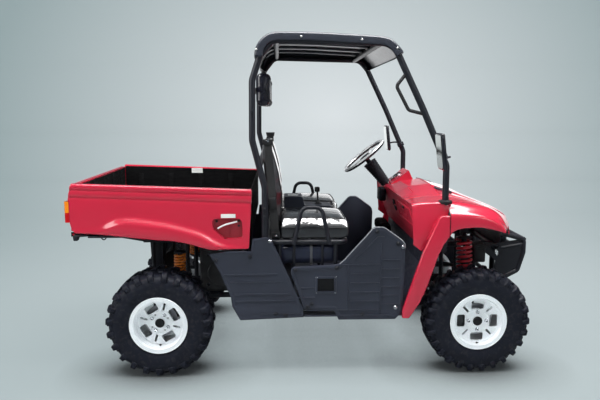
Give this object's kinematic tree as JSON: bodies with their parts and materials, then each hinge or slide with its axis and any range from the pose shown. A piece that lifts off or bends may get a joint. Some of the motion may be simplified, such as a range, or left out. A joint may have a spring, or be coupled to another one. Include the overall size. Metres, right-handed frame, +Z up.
{
  "type": "side-by-side utility vehicle",
  "caption": "Two-seat utility off-road vehicle with roll cage, hard roof, bonnet, steered wheels and a tipping load bed with a drop tailgate.",
  "frame": {"origin": "on the ground, under the middle of the vehicle's length and width", "axes": "+X points forward along the vehicle, +Y to its left and +Z up"},
  "size_m": [2.838, 1.81, 2.005],
  "materials": {
    "red_body": "glossy",
    "black_body": "satin",
    "roof_black": "satin gloss",
    "frame_paint": "satin",
    "steel": "plain",
    "alloy": "machined",
    "cast_alloy": "cast",
    "tyre": "moulded",
    "seat_cover": "vinyl",
    "belt_web": "woven",
    "rear_spring": "gloss",
    "front_spring": "gloss",
    "clear_lens": "polished",
    "amber_lens": "polished",
    "red_lens": "polished",
    "grip": "fine grain"
  },
  "bodies": {
    "chassis": {"bonnet": "red_body", "cage_cross_bars": "frame_paint", "cage_side_right": "frame_paint", "cage_side_left": "frame_paint", "centre_console": "black_body", "centre_frame": "frame_paint", "cowl_and_instrument_pod": "red_body", "cowl_side_right": "red_body", "cowl_side_left": "red_body", "dash_panel": "red_body", "drive_line": "steel", "engine_block": "cast_alloy", "floor_pan": "black_body", "front_bumper": "frame_paint", "front_coil_shocks": "front_spring", "front_fenders": "red_body", "front_frame": "frame_paint", "front_grille": "black_body", "front_suspension_arms": "frame_paint", "fuel_tank": "black_body", "grab_handle": "grip", "headlamps": "clear_lens", "headrests": "seat_cover", "hip_bars": "frame_paint", "mirrors": "black_body", "muffler": "steel", "rear_coil_shocks": "rear_spring", "rear_frame": "frame_paint", "rear_side_panels": "black_body", "rear_suspension_arms": "frame_paint", "roof_panel": "roof_black", "seat_back_right": "seat_cover", "seat_back_left": "seat_cover", "seat_belts": "belt_web", "seat_cushion_right": "seat_cover", "seat_cushion_left": "seat_cover", "seat_frame": "frame_paint", "shift_lever": "grip", "side_guard_right": "frame_paint", "side_guard_left": "frame_paint", "steering_column": "black_body"},
    "hand_wheel": {"steering_wheel": "grip"},
    "knuckle_right": {"front_knuckle_right": "steel"},
    "knuckle_left": {"front_knuckle_left": "steel"},
    "wheel_front_right": {"front_rim_right": "alloy", "front_tyre_right": "tyre"},
    "wheel_front_left": {"front_rim_left": "alloy", "front_tyre_left": "tyre"},
    "wheel_rear_right": {"rear_rim_right": "alloy", "rear_tyre_right": "tyre"},
    "wheel_rear_left": {"rear_rim_left": "alloy", "rear_tyre_left": "tyre"},
    "cargo_bed": {"bed_floor": "black_body", "bed_side_right": "red_body", "bed_side_left": "red_body", "indicator_lamps": "amber_lens", "tail_lamps": "red_lens"},
    "gate": {"tailgate": "red_body"},
    "glove_door": {"glove_box_door": "red_body"}
  },
  "joints": [
    {"name": "wheel_rear_right_spin", "type": "hinge", "parent": "chassis", "child": "wheel_rear_right", "pos_m": [-0.9, -0.563, 0.315], "axis": [0, 1, 0], "continuous": true},
    {"name": "wheel_rear_left_spin", "type": "hinge", "parent": "chassis", "child": "wheel_rear_left", "pos_m": [-0.9, 0.563, 0.315], "axis": [0, 1, 0], "continuous": true},
    {"name": "steering_wheel_turn", "type": "hinge", "parent": "chassis", "child": "hand_wheel", "pos_m": [0.44, 0.33, 1.236], "axis": [-0.628, 0, 0.7782], "range_deg": [-270, 270]},
    {"name": "knuckle_right_steer", "type": "hinge", "parent": "chassis", "child": "knuckle_right", "pos_m": [1, -0.508, 0.315], "axis": [0, 0, 1], "range_deg": [-28, 28]},
    {"name": "knuckle_left_steer", "type": "hinge", "parent": "chassis", "child": "knuckle_left", "pos_m": [1, 0.508, 0.315], "axis": [0, 0, 1], "range_deg": [-28, 28]},
    {"name": "wheel_front_right_spin", "type": "hinge", "parent": "knuckle_right", "child": "wheel_front_right", "pos_m": [1, -0.5885, 0.315], "axis": [0, 1, 0], "continuous": true},
    {"name": "wheel_front_left_spin", "type": "hinge", "parent": "knuckle_left", "child": "wheel_front_left", "pos_m": [1, 0.5885, 0.315], "axis": [0, 1, 0], "continuous": true},
    {"name": "bed_tilt", "type": "hinge", "parent": "chassis", "child": "cargo_bed", "pos_m": [-1.25, 0, 0.79], "axis": [0, -1, 0], "range_deg": [0, 45]},
    {"name": "tailgate_drop", "type": "hinge", "parent": "cargo_bed", "child": "gate", "pos_m": [-1.389, 0, 0.85], "axis": [0, -1, 0], "range_deg": [0, 90]},
    {"name": "glove_box_open", "type": "hinge", "parent": "chassis", "child": "glove_door", "pos_m": [0.6297, -0.355, 0.8701], "axis": [0, -1, 0], "range_deg": [0, 75]}
  ],
  "couplings": [
    {"joint": "knuckle_right_steer", "follows": "steering_wheel_turn", "ratio": 0.1},
    {"joint": "knuckle_left_steer", "follows": "steering_wheel_turn", "ratio": 0.1}
  ]
}
